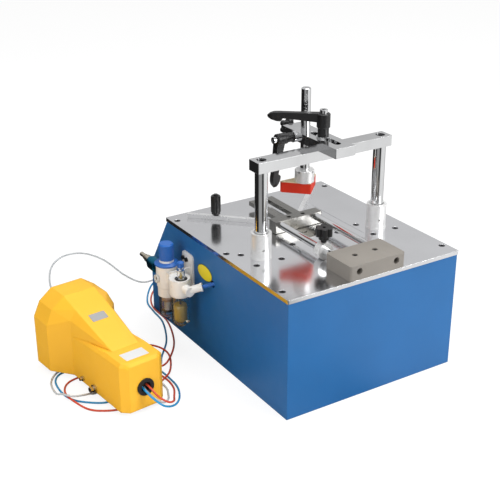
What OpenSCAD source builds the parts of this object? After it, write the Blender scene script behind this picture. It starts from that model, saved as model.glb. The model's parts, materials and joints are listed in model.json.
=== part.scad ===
// Picture frame underpinner: a bench machine that clamps a mitred frame corner
// and drives a V-shaped nail into it from below.
// Origin: on the bench, under the centre of the table plate.
// +X to the operator's right, +Y away from the operator, +Z up. Millimetres.

/* [Table] */
// Width of the table plate, left to right
table_w = 400; // [380:5:460]
// Depth of the table plate, front to back
table_d = 455; // [440:5:520]
// Thickness of the table plate
table_t = 8; // [6:0.5:12]
// Height of the table's working face above the bench
table_h = 249; // [240:1:300]

/* [Cabinet] */
// Thickness of the cabinet's sheet metal
sheet_t = 2; // [1:0.5:3]
// How far the cabinet stands in from the table's edge
cabinet_inset = 2; // [0:1:6]
// How far the cabinet's rear wall stands behind the table
rear_reach = 78; // [40:1:100]
// Height of the rear wall's upright part
rear_upright_h = 116; // [80:1:150]
// Thickness of the base plate
base_t = 3; // [2:0.5:5]

/* [Clamp bridge] */
// Distance between the two clamp posts
post_span = 278; // [250:1:300]
// Diameter of a clamp post
post_d = 25; // [20:1:30]
// Outer diameter of a post's guide collar
collar_d = 40; // [36:1:48]
// Height of a guide collar above the table
collar_h = 52; // [30:1:70]
// Clearance under the cross bar, above the table, when raised
bar_rise = 175; // [150:1:220]
// Depth of the cross bar, front to back
bar_w = 33; // [30:1:40]
// Thickness of the cross bar
bar_t = 21; // [16:1:28]
// Length of the cross bar past each post's axis
bar_overhang = 17; // [15:1:30]
// Clamping stroke of the two cylinders
clamp_stroke = 40; // [20:1:45]

/* [Arm] */
// Width of the arm that carries the pad
arm_w = 46; // [40:1:56]
// Thickness of the arm
arm_t = 19; // [16:1:26]
// Reach of the arm in front of the cross bar's axis
arm_front = 72; // [60:1:90]
// Reach of the arm behind the cross bar's axis
arm_back = 104; // [100:1:120]
// Width of the arm's slot
arm_slot_w = 14; // [13:0.5:18]

/* [Pad] */
// Diameter of the pad's rod
pad_rod_d = 18.5; // [16:0.5:20]
// Length of the pad's rod
pad_rod_len = 185; // [160:1:220]
// Distance from the cross bar's axis back to the pad's rod
pad_setback = 58; // [56:1:66]
// Height of the pad's underside above the table
pad_gap = 87; // [75:1:100]
// Thickness of the pad
pad_t = 22; // [12:1:30]
// Leg of the pad's right-angled triangle
pad_leg = 66; // [50:1:80]
// Diameter of the pad's steel holder
holder_d = 39; // [30:1:42]
// Height of the pad's steel holder
holder_h = 25; // [15:1:30]

/* [Fence] */
// Distance between the two guide rods
guide_span = 86; // [80:1:100]
// Diameter of a guide rod
guide_d = 15; // [12:1:18]
// Height of the guide rods' axes above the table
guide_h = 17.5; // [17:0.5:22]
// Width of the front block
block_w = 127; // [115:1:150]
// Depth of the front block
block_d = 77; // [60:1:90]
// Height of the front block
block_h = 30; // [28:1:36]
// Width of the fence carriage
carriage_w = 114; // [105:1:140]
// Width of the carriage's tongue and its slot's frame
tongue_w = 58; // [50:1:64]
// Width of the nail slot in the tongue and the table
nail_slot_w = 22; // [18:1:26]
// Length of each fence bar
fence_len = 185; // [150:1:200]
// Width of a fence bar
fence_s = 9; // [8:0.5:12]
// Outer diameter of the stop collar
stop_d = 34; // [28:1:34]

/* [Clamp levers] */
// Length of the top lever, from its axis to its tip
top_lever_len = 108; // [80:1:120]
// Length of the side lever, from its axis to its tip
side_lever_len = 108; // [80:1:112]
// Diameter of the top lever's hub
lever_hub_d = 26; // [24:1:30]
// Diameter of a lever's stud
stud_d = 12; // [8:1:12]

/* [Air unit] */
// Distance from the cabinet's side to the air unit's axes
air_reach = 42; // [34:1:50]
// Height of the regulator's top above the bench
regulator_h = 228; // [215:1:240]
// Distance between the regulator and the lubricator
air_pitch = 54; // [50:1:64]
// Diameter of a unit's body
air_body_d = 43; // [38:1:48]
// Diameter of a bowl
bowl_d = 36; // [30:1:40]

/* [Pedal] */
// Length of the pedal's hood
pedal_l = 281; // [260:1:320]
// Width of the pedal's narrow end
pedal_w = 94; // [86:1:104]
// Width of the pedal's mouth
mouth_w = 154; // [140:1:170]
// Height of the hood's narrow end
pedal_h = 110; // [100:1:116]
// Height of the hood over the mouth
mouth_h = 161; // [150:1:176]
// Wall of the hood
pedal_wall = 5; // [3:0.5:7]

/* [Hoses] */
// Outer diameter of a hose
hose_d = 4; // [4:0.5:6]

/* [Hidden] */

$fn = 48;
seam = 0.05;            // radial clearance of a sliding or turning fit
play = 0.3;             // clearance between loose neighbours
over = 1;               // how far a cutting tool runs past a face

// Table and cabinet
front_y = -table_d / 2;
back_y = table_d / 2;
table_under = table_h - table_t;
cab_x = table_w / 2 - cabinet_inset;
cab_front = front_y + cabinet_inset;
cab_top_y = back_y - 3;
cab_back = back_y + rear_reach;
flange = 15;

// Clamp bridge
post_x = post_span / 2;
post_y = -46;
bar_z = table_h + bar_rise;
bar_top = bar_z + bar_t;
bar_len = post_span + 2 * bar_overhang;
bar_screw_d = 12;
bar_head_d = 18;
cylinder_s = 75;
tie_span = 56.5;
cap_t = 24;
piston_t = 16;
cylinder_len = 2 * cap_t + piston_t + clamp_stroke + 12;
piston_z = table_under - cap_t - 3 - piston_t;

// Arm, pad and levers
arm_z = bar_top;
arm_top = arm_z + arm_t;
arm_mid = arm_z + arm_t / 2;
pad_y = post_y + pad_setback;
pad_z = table_h + pad_gap;
holder_z = pad_z + pad_t;
rod_z = holder_z + 4;
rod_angle = 237;        // the detent holes face front left
side_hub_d = 22;
washer_t = 3;

// Fence
guide_x = guide_span / 2;
guide_z = table_h + guide_h;
block_back = front_y + block_d;
carriage_y = 28;
carriage_d = 24;
carriage_z = table_h + 1;
carriage_h = 25;
tongue_t = 9;
fence_h = 9;            // the tongue lies on the fence bars' ends
tongue_top = table_h + fence_h + tongue_t;
tongue_end = 172;
nail_slot_y = 62;
nail_slot_end = 160;
rod_end_y = carriage_y + carriage_d - 2;
stop_y = -115.5;
stop_w = 16;
fence_y = 74;           // where a fence bar's axis meets the tongue's side
fence_knob_at = 124;    // from there to the knob, along the bar

// Nail driver
nail_y = 3;
insert_w = 40;
insert_front = -20;
insert_back = 56;
nail_leg = 9;
blade_t = 1.8;
head_h = 42;
driver_bore = 70;

// Air unit
air_x = -cab_x - air_reach;
reg_y = 153;
lub_y = reg_y - air_pitch;
air_z = 160;            // height of the air unit's ports
knob_z = regulator_h - 35;
ring_z = knob_z - 12;
reg_low = 113;          // foot of the regulator's collar
lub_low = 134;
lub_top = air_z + 12;
dome_y = lub_y - 6;
elbow_y = lub_y - air_body_d / 2 - 13;
elbow_z = air_z - 3;
tube_in = [-cab_x, 39, 171];    // where the air tube enters the cabinet

// Pedal
pedal_at = [-402.9, -57.4];
pedal_turn = 6;
flare_v = pedal_l - 95;     // where the hood starts to flare
band_v = pedal_l - 51;      // and where it has its full width
ramp_v = 62;                // where the ramp starts on the narrow end's top
corner = 13;                // chamfer of the hood's near upright edges
base_z = 16;                // height of the pedal's base plate, on its feet
base_plate_t = 4;
tread_w = 88;
tread_l = 58;
tread_bar_w = 52;
treadle_len = 176;
treadle_v = pedal_l - 10 - treadle_len; // the treadle's axle
treadle_z = 46;
treadle_tilt = 3;
axle_d = 6;
cheek_u = 32;
valve_v = treadle_v + 52;
fittings = [[106, 16, 17], [150, 18, 10]];  // v, height and width of each on the hood's left side
skirt_z = 8;
grommet_u = 1;
hose_v = 6;             // depth of the grommet's recess, where the hoses start
grommet_z = 53;
grommet_d = 35;
hoses_z = 60;           // height of the hose fittings on the rear cover
hoses_x = -150;         // where the first of them stands
hoses_step = 22;

// The hoses' routes over the bench, between the pedal and the cabinet's rear
blue_route = [
    [-404, -67, 46], [-398, -83, 38], [-381, -92, 22], [-355, -81, 9], [-331, -56, 3], [-315, -20, 2.2],
    [-312, 20, 2.2], [-317, 66, 2.2], [-345, 98, 2.2], [-395, 122, 2.2], [-440, 140, 2.2], [-482, 152, 2.2],
    [-506, 132, 2.2], [-513, 92, 2.2], [-508, 56, 2.2], [-490, 30, 2.2], [-454, 6, 2.2], [-420, 18, 2.2],
    [-378, 26, 2.2], [-350, 34, 6.7], [-308, 66, 6.7], [-286, 102, 2.2], [-245, 158, 2.2], [-214, 233, 2.2],
    [-207, 290, 2.2], [-200, 334, 6], [-178, 358, 28], [-154, 350, 50]
];
red_route = [
    [-395, -69, 51], [-389, -86, 41], [-372, -91, 27], [-354, -77, 16], [-339, -50, 5], [-322, -16, 2.2],
    [-319, 22, 2.2], [-330, 56, 2.2], [-372, 84, 2.2], [-430, 112, 2.2], [-466, 118, 2.2], [-494, 106, 2.2],
    [-511, 70, 7.2], [-508, 36, 6.7], [-494, 4, 2.2], [-474, -16, 2.2], [-440, -30, 2.2], [-390, -28, 2.2],
    [-355, -10, 2.2], [-344, 4, 6.7], [-304, 34, 6.7], [-276, 84, 6.7], [-272, 122, 6.7], [-288, 152, 6.7],
    [-318, 158, 6.7], [-338, 130, 6.7], [-334, 86, 11.2], [-310, 56, 11.2], [-277, 80, 11.2], [-236, 141, 6.7],
    [-207, 225, 6.7], [-203, 300, 7.5], [-186, 338, 18], [-150, 356, 36], [-130, 348, 52]
];
clear_route = [
    [-399, -67, 41], [-391, -77, 32], [-375, -76, 19], [-356, -58, 10], [-343, -34, 3], [-334, -8, 2.2],
    [-338, 28, 2.2], [-364, 58, 2.2], [-381, 75, 3.4], [-391, 89, 7], [-406, 112, 7], [-430, 142, 7], [-450, 156, 4],
    [-468, 162, 2.2], [-494, 157, 2.2], [-517, 128, 2.2], [-525, 84, 5], [-518, 66, 10], [-506, 46, 12],
    [-488, 40, 11.5], [-472, 44, 7], [-460, 47, 2.2], [-446, 51, 2.2], [-428, 62, 6], [-412, 84, 12],
    [-395, 118, 11.5], [-389, 134, 3.4], [-382, 144, 2.2], [-371, 154, 2.2], [-352, 190, 2.2], [-346, 250, 2.2],
    [-362, 340, 2.2], [-365, 450, 2.2], [-350, 540, 2.2], [-310, 630, 2.2], [-260, 674, 2.2], [-212, 664, 2.2],
    [-185, 600, 2.2], [-180, 500, 2.2], [-172, 400, 20], [-120, 352, 56]
];

// ---------- shared shapes ----------

// Box with rounded upright edges, from the corner
module rounded_box(size, r) {
    translate([r, 0, 0]) cube([size.x - 2 * r, size.y, size.z]);
    translate([0, r, 0]) cube([size.x, size.y - 2 * r, size.z]);
    for (x = [r, size.x - r], y = [r, size.y - r])
        translate([x, y, 0]) cylinder(h = size.z, r = r);
}

// Cylinder along +Y from a point
module along_y(p, d, h) {
    translate(p) rotate([-90, 0, 0]) cylinder(h = h, d = d);
}

// Cylinder along +X from a point
module along_x(p, d, h) {
    translate(p) rotate([0, 90, 0]) cylinder(h = h, d = d);
}

// Upright prism between two x values, from a (y, z) outline
module side_prism(x0, x1, outline) {
    translate([x0, 0, 0]) rotate([90, 0, 90]) linear_extrude(x1 - x0) polygon(outline);
}

// Row of places: four corners of a rectangle
function corners(w, d) = [for (x = [-w / 2, w / 2], y = [-d / 2, d / 2]) [x, y]];

// Round knob with lobes, standing on z = 0
module lobed_knob(d, h, lobes, bore) {
    difference() {
        union() {
            cylinder(h = h, d = d * 0.72);
            for (i = [0:lobes - 1])
                rotate(i * 360 / lobes) translate([d * 0.33, 0, 0]) cylinder(h = h, d = d * 0.34, $fn = 24);
        }
        translate([0, 0, -over]) cylinder(h = h + 2 * over, d = bore);
    }
}

// ---------- cabinet ----------

// The rear outline, moved in by d: bottom, bend and top, as (y, z)
function rear_line(d) =
    let (
        run = [cab_top_y - cab_back, table_under - rear_upright_h],
        n = [-run.y, run.x] / norm(run),
        bend = d * (1 + 0) / (1 - n.x) * [n.x - 1, n.y]
    )
    [
        [cab_back - d, 0],
        [cab_back + bend.x, rear_upright_h + bend.y],
        [cab_top_y + d / n.x, table_under]
    ];

// A band of sheet between two such lines
module rear_band(x0, x1, d0, d1) {
    a = rear_line(d0);
    b = rear_line(d1);
    side_prism(x0, x1, [a[0], a[1], a[2], b[2], b[1], b[0]]);
}

module cabinet() {
    outer = concat([[cab_front, 0]], rear_line(0), [[cab_front, table_under]]);
    big = 400;
    color("royalblue") {
        difference() {
            side_prism(-cab_x, cab_x, outer);
            translate([-cab_x + sheet_t, cab_front + sheet_t, -over])
                cube([2 * (cab_x - sheet_t), table_d + rear_reach + big, table_under + 2 * over]);
            // the air tube's hole
            along_x([-cab_x - over, tube_in.y, tube_in.z], 15, sheet_t + 2 * over);
        }
        // flanges that the table, the base and the rear cover are screwed to
        difference() {
            for (z = [base_t, table_under - sheet_t]) {
                for (s = [-1, 1])
                    translate([s > 0 ? cab_x - flange : -cab_x + sheet_t, cab_front + sheet_t, z])
                        cube([flange - sheet_t, (z > 100 ? cab_top_y : cab_back) - cab_front - 5 * sheet_t, sheet_t]);
                translate([-cab_x + flange, cab_front + sheet_t, z])
                    cube([2 * (cab_x - flange), flange - sheet_t, sheet_t]);
            }
            for (p = edge_screws)
                translate([p.x, p.y, table_under - 10]) cylinder(h = 20, d = 6.4);
        }
        for (s = [-1, 1])
            rear_band(
                s > 0 ? cab_x - flange : -cab_x + sheet_t, s > 0 ? cab_x - sheet_t : -cab_x + flange,
                sheet_t, 2 * sheet_t
            );
    }
}

module rear_cover() {
    color("royalblue") difference() {
        rear_band(-cab_x + sheet_t + play, cab_x - sheet_t - play, 0, sheet_t);
        for (i = [0:2])
            along_y([hoses_x + i * hoses_step, cab_back - sheet_t - over, hoses_z], 9, sheet_t + 2 * over);
    }
}

bench_bolt_w = 340;
bench_bolt_d = 440;
bench_bolt_y = 38;

module base_plate() {
    w = cab_x - sheet_t - play;
    y0 = cab_front + sheet_t + play;
    y1 = cab_back - 2 * sheet_t - play;
    color("dimgray") difference() {
        translate([-w, y0, 0]) cube([2 * w, y1 - y0, base_t]);
        for (p = corners(bench_bolt_w, bench_bolt_d))
            translate([p.x, p.y + bench_bolt_y, -over]) cylinder(h = base_t + 2 * over, d = 9);
    }
}

// ---------- table ----------

edge_x = table_w / 2 - 12;
edge_screws = [for (s = [-1, 1], y = [front_y + 36, 2, back_y - 29]) [s * edge_x, y]];
tie_screws = [for (s = [-1, 1], p = corners(tie_span, tie_span)) [s * post_x + p.x, post_y + p.y]];
mid_screws = [for (s = [-1, 1]) [s * 55, -29]];
flush_screws = concat(edge_screws, tie_screws, mid_screws);
block_screws = [for (s = [-1, 1]) [s * 23.5, front_y + 41]];

// V outline of a nail, its point towards the operator, grown by g
module vee(leg, t, g) {
    rotate(45) difference() {
        translate([-g, -g]) square(leg + 2 * g);
        translate([t + g, t + g]) square(leg + 2 * g);
    }
}

module table_plate() {
    color("silver") difference() {
        translate([-table_w / 2, front_y, table_under]) rounded_box([table_w, table_d, table_t], 2);
        for (p = flush_screws)
            translate([p.x, p.y, table_under - over]) {
                cylinder(h = table_t + 2 * over, d = 6.4);
                translate([0, 0, over + table_t - 3.4]) cylinder(h = 3.4 + over, d1 = 6.4, d2 = 6.4 + 2 * (3.4 + over));
            }
        for (p = block_screws)
            translate([p.x, p.y, table_under - over]) cylinder(h = table_t + 2 * over, d = 6.4);
        for (s = [-1, 1])
            translate([s * post_x, post_y, table_under - over]) cylinder(h = table_t + 2 * over, d = post_d + 2);
        translate([-insert_w / 2, insert_front, table_under - over])
            cube([insert_w, insert_back - insert_front, table_t + 2 * over]);
        translate([-nail_slot_w / 2, nail_slot_y, table_under - over])
            cube([nail_slot_w, nail_slot_end - nail_slot_y, table_t + 2 * over]);
        // the scale's groove
        translate([97.2, -60, table_h - 1]) cube([1.6, 190, 1 + over]);
    }
}

// Countersunk screw, its head's face at z = 0
module flush_screw() {
    difference() {
        union() {
            translate([0, 0, -3.2]) cylinder(h = 3.2, d1 = 6, d2 = 12.4);
            translate([0, 0, -14]) cylinder(h = 11, d = 6);
        }
        translate([0, 0, -2.6]) cylinder(h = 2.6 + over, d = 4.6, $fn = 6);
    }
}

module socket_screws() {
    color("dimgray") {
        for (p = flush_screws) translate([p.x, p.y, table_h - 0.2]) flush_screw();
        for (p = block_screws)
            translate([p.x, p.y, table_h + block_h - 8]) {
                difference() {
                    cylinder(h = 6, d = 10);
                    translate([0, 0, 3]) cylinder(h = 3 + over, d = 5, $fn = 6);
                }
                translate([0, 0, -block_h + 8 - table_t]) cylinder(h = block_h - 8 + table_t, d = 6);
            }
        // the guide rods' end screws
        for (s = [-1, 1]) {
            difference() {
                along_y([s * guide_x, front_y + 12, guide_z], 12.6, 8);
                along_y([s * guide_x, front_y + 12 - over, guide_z], 6, 5);
            }
            along_y([s * guide_x, front_y + 20, guide_z], 8, 24);
        }
    }
}

module collar(s) {
    translate([s * post_x, post_y, table_h]) difference() {
        union() {
            cylinder(h = collar_h, d = collar_d);
            cylinder(h = 4, d = collar_d + 1);
        }
        translate([0, 0, -over]) cylinder(h = collar_h + 2 * over, d = post_d + 2 * seam);
        translate([0, 0, collar_h - 3]) cylinder(h = 3 + over, d = post_d + 5);
        // set screw
        rotate(250) along_x([post_d / 2 + 2, 0, collar_h * 0.4], 5, collar_d);
    }
}

module collar_left() { color("gainsboro") collar(-1); }
module collar_right() { color("gainsboro") collar(1); }

module clamp_cylinders() {
    color("slategray") for (s = [-1, 1])
        translate([s * post_x, post_y, table_under - cylinder_len]) {
            difference() {
                union() {
                    for (z = [0, cylinder_len - cap_t])
                        translate([-cylinder_s / 2, -cylinder_s / 2, z])
                            rounded_box([cylinder_s, cylinder_s, cap_t], 6);
                    cylinder(h = cylinder_len, d = cylinder_s - 6);
                    for (p = corners(tie_span, tie_span))
                        translate([p.x, p.y, 0]) cylinder(h = cylinder_len, d = 7, $fn = 24);
                }
                translate([0, 0, cap_t]) cylinder(h = cylinder_len - 2 * cap_t, d = 63);
                translate([0, 0, cap_t]) cylinder(h = cylinder_len, d = post_d + 1);
                for (p = corners(tie_span, tie_span))
                    translate([p.x, p.y, cylinder_len - 10]) cylinder(h = 10 + over, d = 6.2);
            }
        }
}

// ---------- nail driver ----------

module insert_plate() {
    g = play / 2;
    color("tan") difference() {
        translate([-insert_w / 2 + g, insert_front + g, table_under])
            cube([insert_w - 2 * g, insert_back - insert_front - 2 * g, table_t]);
        translate([0, nail_y, table_under - over]) linear_extrude(table_t + 2 * over) vee(nail_leg, blade_t, 0.25);
        for (p = [[13, insert_front + 8], [-13, insert_front + 8], [13, insert_back - 9], [-13, insert_back - 9]])
            translate([p.x, p.y, table_h - 5]) cylinder(h = 5 + over, d = 8);
        // the two jaws' parting line
        translate([-insert_w, nail_y + 33, table_h - 1.2]) cube([insert_w * 2, 0.8, 1.2 + over]);
    }
}

module driver_head() {
    z = table_under - head_h;
    color("slategray") difference() {
        union() {
            translate([-insert_w / 2 - 10, insert_front - 6, z]) cube([insert_w + 20, magazine_y - insert_front + 6, head_h]);
            translate([-64, -38, table_under - 10]) cube([128, 46, 10]);
        }
        for (p = mid_screws) translate([p.x, p.y, table_under - 8]) cylinder(h = 8 + over, d = 6.2);
        translate([0, nail_y, z - over]) linear_extrude(head_h + 2 * over) vee(nail_leg, blade_t, 0.25);
    }
}

magazine_y = insert_front + 36;
magazine_len = nail_slot_end - magazine_y;

module nail_magazine() {
    z = table_under - 20;
    color("slategray") difference() {
        translate([-nail_slot_w / 2 - 5, magazine_y, z]) cube([nail_slot_w + 10, magazine_len, 20]);
        translate([-7.5, magazine_y - over, z + 6]) cube([15, magazine_len + 2 * over, 14 + over]);
    }
}

module nail_pusher() {
    z = table_under - 14;
    color("dimgray") {
        translate([-7.5 + play, magazine_y + 8, z + play]) cube([15 - 2 * play, 18, 9]);
        translate([-2, magazine_y + 12, z + 9]) cube([4, 8, 4.5]);
    }
}

module driver_blade() {
    z = table_h - 14;
    low = table_under - head_h - 36;
    color("lightgray") {
        translate([0, nail_y, low]) linear_extrude(z - low) vee(nail_leg, blade_t, 0);
        translate([0, nail_y + 4, low - 8]) cylinder(h = 8, d = 30);
        translate([0, nail_y + 4, low - 60]) cylinder(h = 52, d = 16);
        translate([0, nail_y + 4, low - 72]) cylinder(h = 12, d = driver_bore - 1);
    }
}

module driver_cylinder() {
    top = table_under - head_h - 56;
    h = top - base_t;
    color("slategray") translate([0, nail_y + 4, base_t]) difference() {
        cylinder(h = h, d = driver_bore + 12);
        translate([0, 0, 8]) cylinder(h = h - 16, d = driver_bore);
        translate([0, 0, 8]) cylinder(h = h, d = 16 + 2 * seam);
    }
}

// ---------- front block and guide rods ----------

module front_block() {
    color("rosybrown") difference() {
        translate([-block_w / 2, front_y, table_h]) rounded_box([block_w, block_d, block_h], 5);
        for (s = [-1, 1]) {
            along_y([s * guide_x, front_y - over, guide_z], 13, 20 + over);
            along_y([s * guide_x, front_y + 10, guide_z], 8.4, 30);
            along_y([s * guide_x, front_y + 30, guide_z], guide_d, block_d);
        }
        for (p = block_screws)
            translate([p.x, p.y, table_h - over]) {
                cylinder(h = block_h + 2 * over, d = 6.5);
                translate([0, 0, block_h - 8 + over]) cylinder(h = 8 + over, d = 11);
            }
    }
}

module guide_rods() {
    color("silver") for (s = [-1, 1])
        difference() {
            along_y([s * guide_x, front_y + 30, guide_z], guide_d, rod_end_y - front_y - 30);
            along_y([s * guide_x, front_y + 30 - over, guide_z], 8.2, 20);
        }
}

// ---------- clamp bridge ----------

module cross_bar() {
    color("whitesmoke") difference() {
        translate([-bar_len / 2, post_y - bar_w / 2, bar_z]) rounded_box([bar_len, bar_w, bar_t], 1.5);
        for (s = [-1, 1])
            translate([s * post_x, post_y, bar_z - over]) {
                cylinder(h = bar_t + 2 * over, d = bar_screw_d + 0.6);
                translate([0, 0, over + 7]) cylinder(h = bar_t, d = bar_head_d + 1);
            }
        translate([0, post_y, bar_z + 4]) cylinder(h = bar_t, d = stud_d + 2 * seam);
    }
}

module post(s) {
    bottom = piston_z + piston_t;
    translate([s * post_x, post_y, 0]) {
        difference() {
            translate([0, 0, piston_z]) cylinder(h = bar_z - piston_z, d = post_d);
            translate([0, 0, bar_z - 22]) cylinder(h = 22 + over, d = bar_screw_d);
            translate([0, 0, piston_z - over]) cylinder(h = 12, d = 10);
        }
        // the piston on its foot
        difference() {
            translate([0, 0, piston_z]) cylinder(h = piston_t, d = 62.8);
            translate([0, 0, piston_z - over]) cylinder(h = piston_t + 2 * over, d = post_d);
        }
    }
}

module post_left() { color("silver") post(-1); }
module post_right() { color("silver") post(1); }

module bar_screws() {
    color("dimgray") for (s = [-1, 1])
        translate([s * post_x, post_y, 0]) difference() {
            union() {
                translate([0, 0, bar_z + 7]) cylinder(h = 12, d = bar_head_d);
                translate([0, 0, bar_z - 20]) cylinder(h = 27, d = bar_screw_d - 0.1);
            }
            translate([0, 0, bar_z + 12]) cylinder(h = 8, d = 11, $fn = 6);
        }
}

// ---------- arm and pad ----------

module arm() {
    slot_front = post_y - arm_front + 20;
    slot_back = post_y + pad_setback - pad_rod_d / 2 - 12;
    color("whitesmoke") difference() {
        translate([-arm_w / 2, post_y - arm_front, arm_z])
            rounded_box([arm_w, arm_front + arm_back, arm_t], 1.5);
        translate([0, 0, arm_z - over]) {
            for (y = [slot_front, slot_back - arm_slot_w])
                translate([0, y + arm_slot_w / 2, 0]) cylinder(h = arm_t + 2 * over, d = arm_slot_w);
            translate([-arm_slot_w / 2, slot_front + arm_slot_w / 2, 0])
                cube([arm_slot_w, slot_back - slot_front - arm_slot_w, arm_t + 2 * over]);
            translate([0, pad_y, 0]) cylinder(h = arm_t + 2 * over, d = pad_rod_d + 2 * seam);
        }
        along_x([-arm_w / 2 - over, pad_y, arm_mid], 8 + 2 * seam, arm_w / 2);
        along_y([0, pad_y, arm_mid], 8 + 2 * seam, arm_back);
    }
}

module pad_rod() {
    color("silver") translate([0, pad_y, 0]) difference() {
        union() {
            translate([0, 0, rod_z]) cylinder(h = pad_rod_len - 1.5, d = pad_rod_d);
            translate([0, 0, rod_z + pad_rod_len - 1.5])
                cylinder(h = 1.5, d1 = pad_rod_d, d2 = pad_rod_d - 3);
        }
        for (i = [0:6])
            rotate(rod_angle)
                along_x([pad_rod_d / 2 - 3.5, 0, rod_z + pad_rod_len - 14 - i * 7.5], 5.4, 6);
    }
}

module pad_holder() {
    color("lightgray") translate([0, pad_y, holder_z]) difference() {
        union() {
            cylinder(h = holder_h - 1.5, d = holder_d);
            translate([0, 0, holder_h - 1.5]) cylinder(h = 1.5, d1 = holder_d, d2 = holder_d - 3);
        }
        translate([0, 0, 4]) cylinder(h = holder_h, d = pad_rod_d);
        for (a = [20:90:290])
            rotate(a) along_x([pad_rod_d / 2 + 1, 0, holder_h - 3], 4, holder_d);
    }
}

module pad() {
    // right angle towards the operator, acute corners cut off
    tip = pad_leg * sin(45);
    cut = 41;
    nose = -22;
    color("orangered") translate([0, pad_y, pad_z]) difference() {
        linear_extrude(pad_t) polygon([
            [-1, nose + 1], [1, nose + 1], [cut, nose + cut], [cut, nose + tip],
            [-cut, nose + tip], [-cut, nose + cut]
        ]);
        translate([0, 0, pad_t - 6]) cylinder(h = 6 + over, d = 8);
    }
}

// ---------- clamp levers ----------

// Lever with its axis along Z and its handle towards +X; the hub stands on z = 0
module clamp_lever(len, hub, bore) {
    foot_h = hub * 0.62;
    top = hub * 1.7;
    difference() {
        union() {
            cylinder(h = foot_h, d = hub * 0.83);
            translate([0, 0, foot_h]) cylinder(h = 1.5, d1 = hub - 3, d2 = hub);
            translate([0, 0, foot_h + 1.5]) cylinder(h = top - foot_h - 3, d = hub);
            translate([0, 0, top - 1.5]) cylinder(h = 1.5, d1 = hub, d2 = hub - 3);
            // the handle: its side outline, with a hooked lip near the tip, cut by its plan
            intersection() {
                rotate([90, 0, 0]) linear_extrude(hub, center = true) polygon([
                    [0, top], [8, top], [len - 23, top - 2.3], [len - 13, top - 3], [len - 5, top - 5.5],
                    [len, top - 9.5], [len - 1.5, top - 13], [len - 8, top - 16.5], [len - 18, top - 19.2],
                    [len - 26, top - 19.7], [len - 28.5, top - 18], [len - 31, top - 13.5],
                    [len * 0.55, top - 14.4], [len * 0.28, top - 15.8], [12, top - 16.7], [0, top - 17]
                ]);
                linear_extrude(top) polygon(concat(
                    [for (p = lever_plan) [p[0] < 0.5 ? p[0] * len : len - (1 - p[0]) * 108, p[1]]],
                    [for (i = [len(lever_plan) - 1:-1:0]) let (p = lever_plan[i])
                        [p[0] < 0.5 ? p[0] * len : len - (1 - p[0]) * 108, -p[1]]]
                ));
            }
        }
        translate([0, 0, -over]) cylinder(h = top + 2 * over, d = bore + 2 * seam);
        translate([0, 0, top - 5]) cylinder(h = 5 + over, d = hub * 0.62);
    }
}

// Half width of a lever's handle: share of its length, and millimetres
lever_plan = [[0, 8], [0.11, 7.5], [0.45, 5.8], [0.74, 5.8], [0.8, 6.4], [0.91, 6], [0.96, 4.8], [0.985, 3.2], [1, 1.2]];

// The stud that a lever turns: washer, shank and cap screw
module lever_stud(hub, bore, down, washer) {
    top = hub * 1.7;
    translate([0, 0, -down]) cylinder(h = down + top - 5, d = bore);
    translate([0, 0, top - 5 + play / 2]) difference() {
        cylinder(h = 12, d = hub * 0.58);
        translate([0, 0, 6]) cylinder(h = 7, d = hub * 0.3, $fn = 6);
    }
    translate([0, 0, -washer]) difference() {
        cylinder(h = washer - play / 2, d = hub * 1.02);
        translate([0, 0, -over]) cylinder(h = washer + 2 * over, d = bore);
    }
}

module at_top_lever() {
    translate([0, post_y, arm_top + washer_t]) rotate(135.6) children();
}

module top_lever() {
    color("darkslategray") at_top_lever() clamp_lever(top_lever_len, lever_hub_d, stud_d);
}

module top_lever_stud() {
    color("silver") at_top_lever() lever_stud(lever_hub_d, stud_d, washer_t + arm_t + 12, washer_t);
}

// Axis towards -X, handle hanging down
module at_side_lever() {
    translate([-arm_w / 2 - washer_t - 5, pad_y, arm_mid]) rotate([0, -90, 0]) rotate(168) children();
}

module side_lever() {
    color("darkslategray") at_side_lever() clamp_lever(side_lever_len, side_hub_d, 8);
}

module side_lever_stud() {
    color("silver") at_side_lever()
        lever_stud(side_hub_d, 8, washer_t + 5 + arm_w / 2 - pad_rod_d / 2 - play, washer_t + 5);
}

module rod_knob() {
    y = post_y + arm_back;
    color("darkslategray") translate([0, y + 8, arm_mid]) rotate([-90, 0, 0]) lobed_knob(34, 12, 5, 8);
    color("silver") along_y([0, pad_y + pad_rod_d / 2 + play, arm_mid], 8, arm_back - pad_setback - pad_rod_d / 2 + 18);
    color("darkslategray") translate([0, y + play, arm_mid]) rotate([-90, 0, 0]) difference() {
        cylinder(h = 8 - play, d = 16);
        translate([0, 0, -over]) cylinder(h = 10, d = 8);
    }
}

// ---------- fence carriage ----------

module carriage() {
    color("silver") difference() {
        union() {
            translate([-carriage_w / 2, carriage_y, carriage_z]) rounded_box([carriage_w, carriage_d, carriage_h], 2);
            translate([-tongue_w / 2, carriage_y + 4, tongue_top - tongue_t])
                cube([tongue_w, tongue_end - carriage_y - 4, tongue_t]);
        }
        for (s = [-1, 1]) {
            along_y([s * guide_x, carriage_y - over, guide_z], guide_d + 2 * seam, carriage_d + 2 * over);
            translate([s * 17, carriage_y + 12, carriage_z + carriage_h - 7]) cylinder(h = 7 + over, d = 9);
        }
        translate([-nail_slot_w / 2, nail_slot_y, tongue_top - tongue_t - over])
            cube([nail_slot_w, nail_slot_end - nail_slot_y, tongue_t + 2 * over]);
    }
}

// Fence bar from the tongue's side, out and back at 45 degrees
module fence(s) {
    mirror([s < 0 ? 1 : 0, 0, 0]) difference() {
        translate([tongue_w / 2, fence_y, table_h + 0.2]) rotate(45)
            translate([-40, -fence_s / 2, 0]) cube([fence_len + 40, fence_s, fence_h - 0.2]);
        // cut off under the tongue, beside the nail slot
        translate([-30, fence_y - 60, table_h - over]) cube([30 + nail_slot_w / 2 + 3, 90, fence_h + 3]);
    }
}

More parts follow.
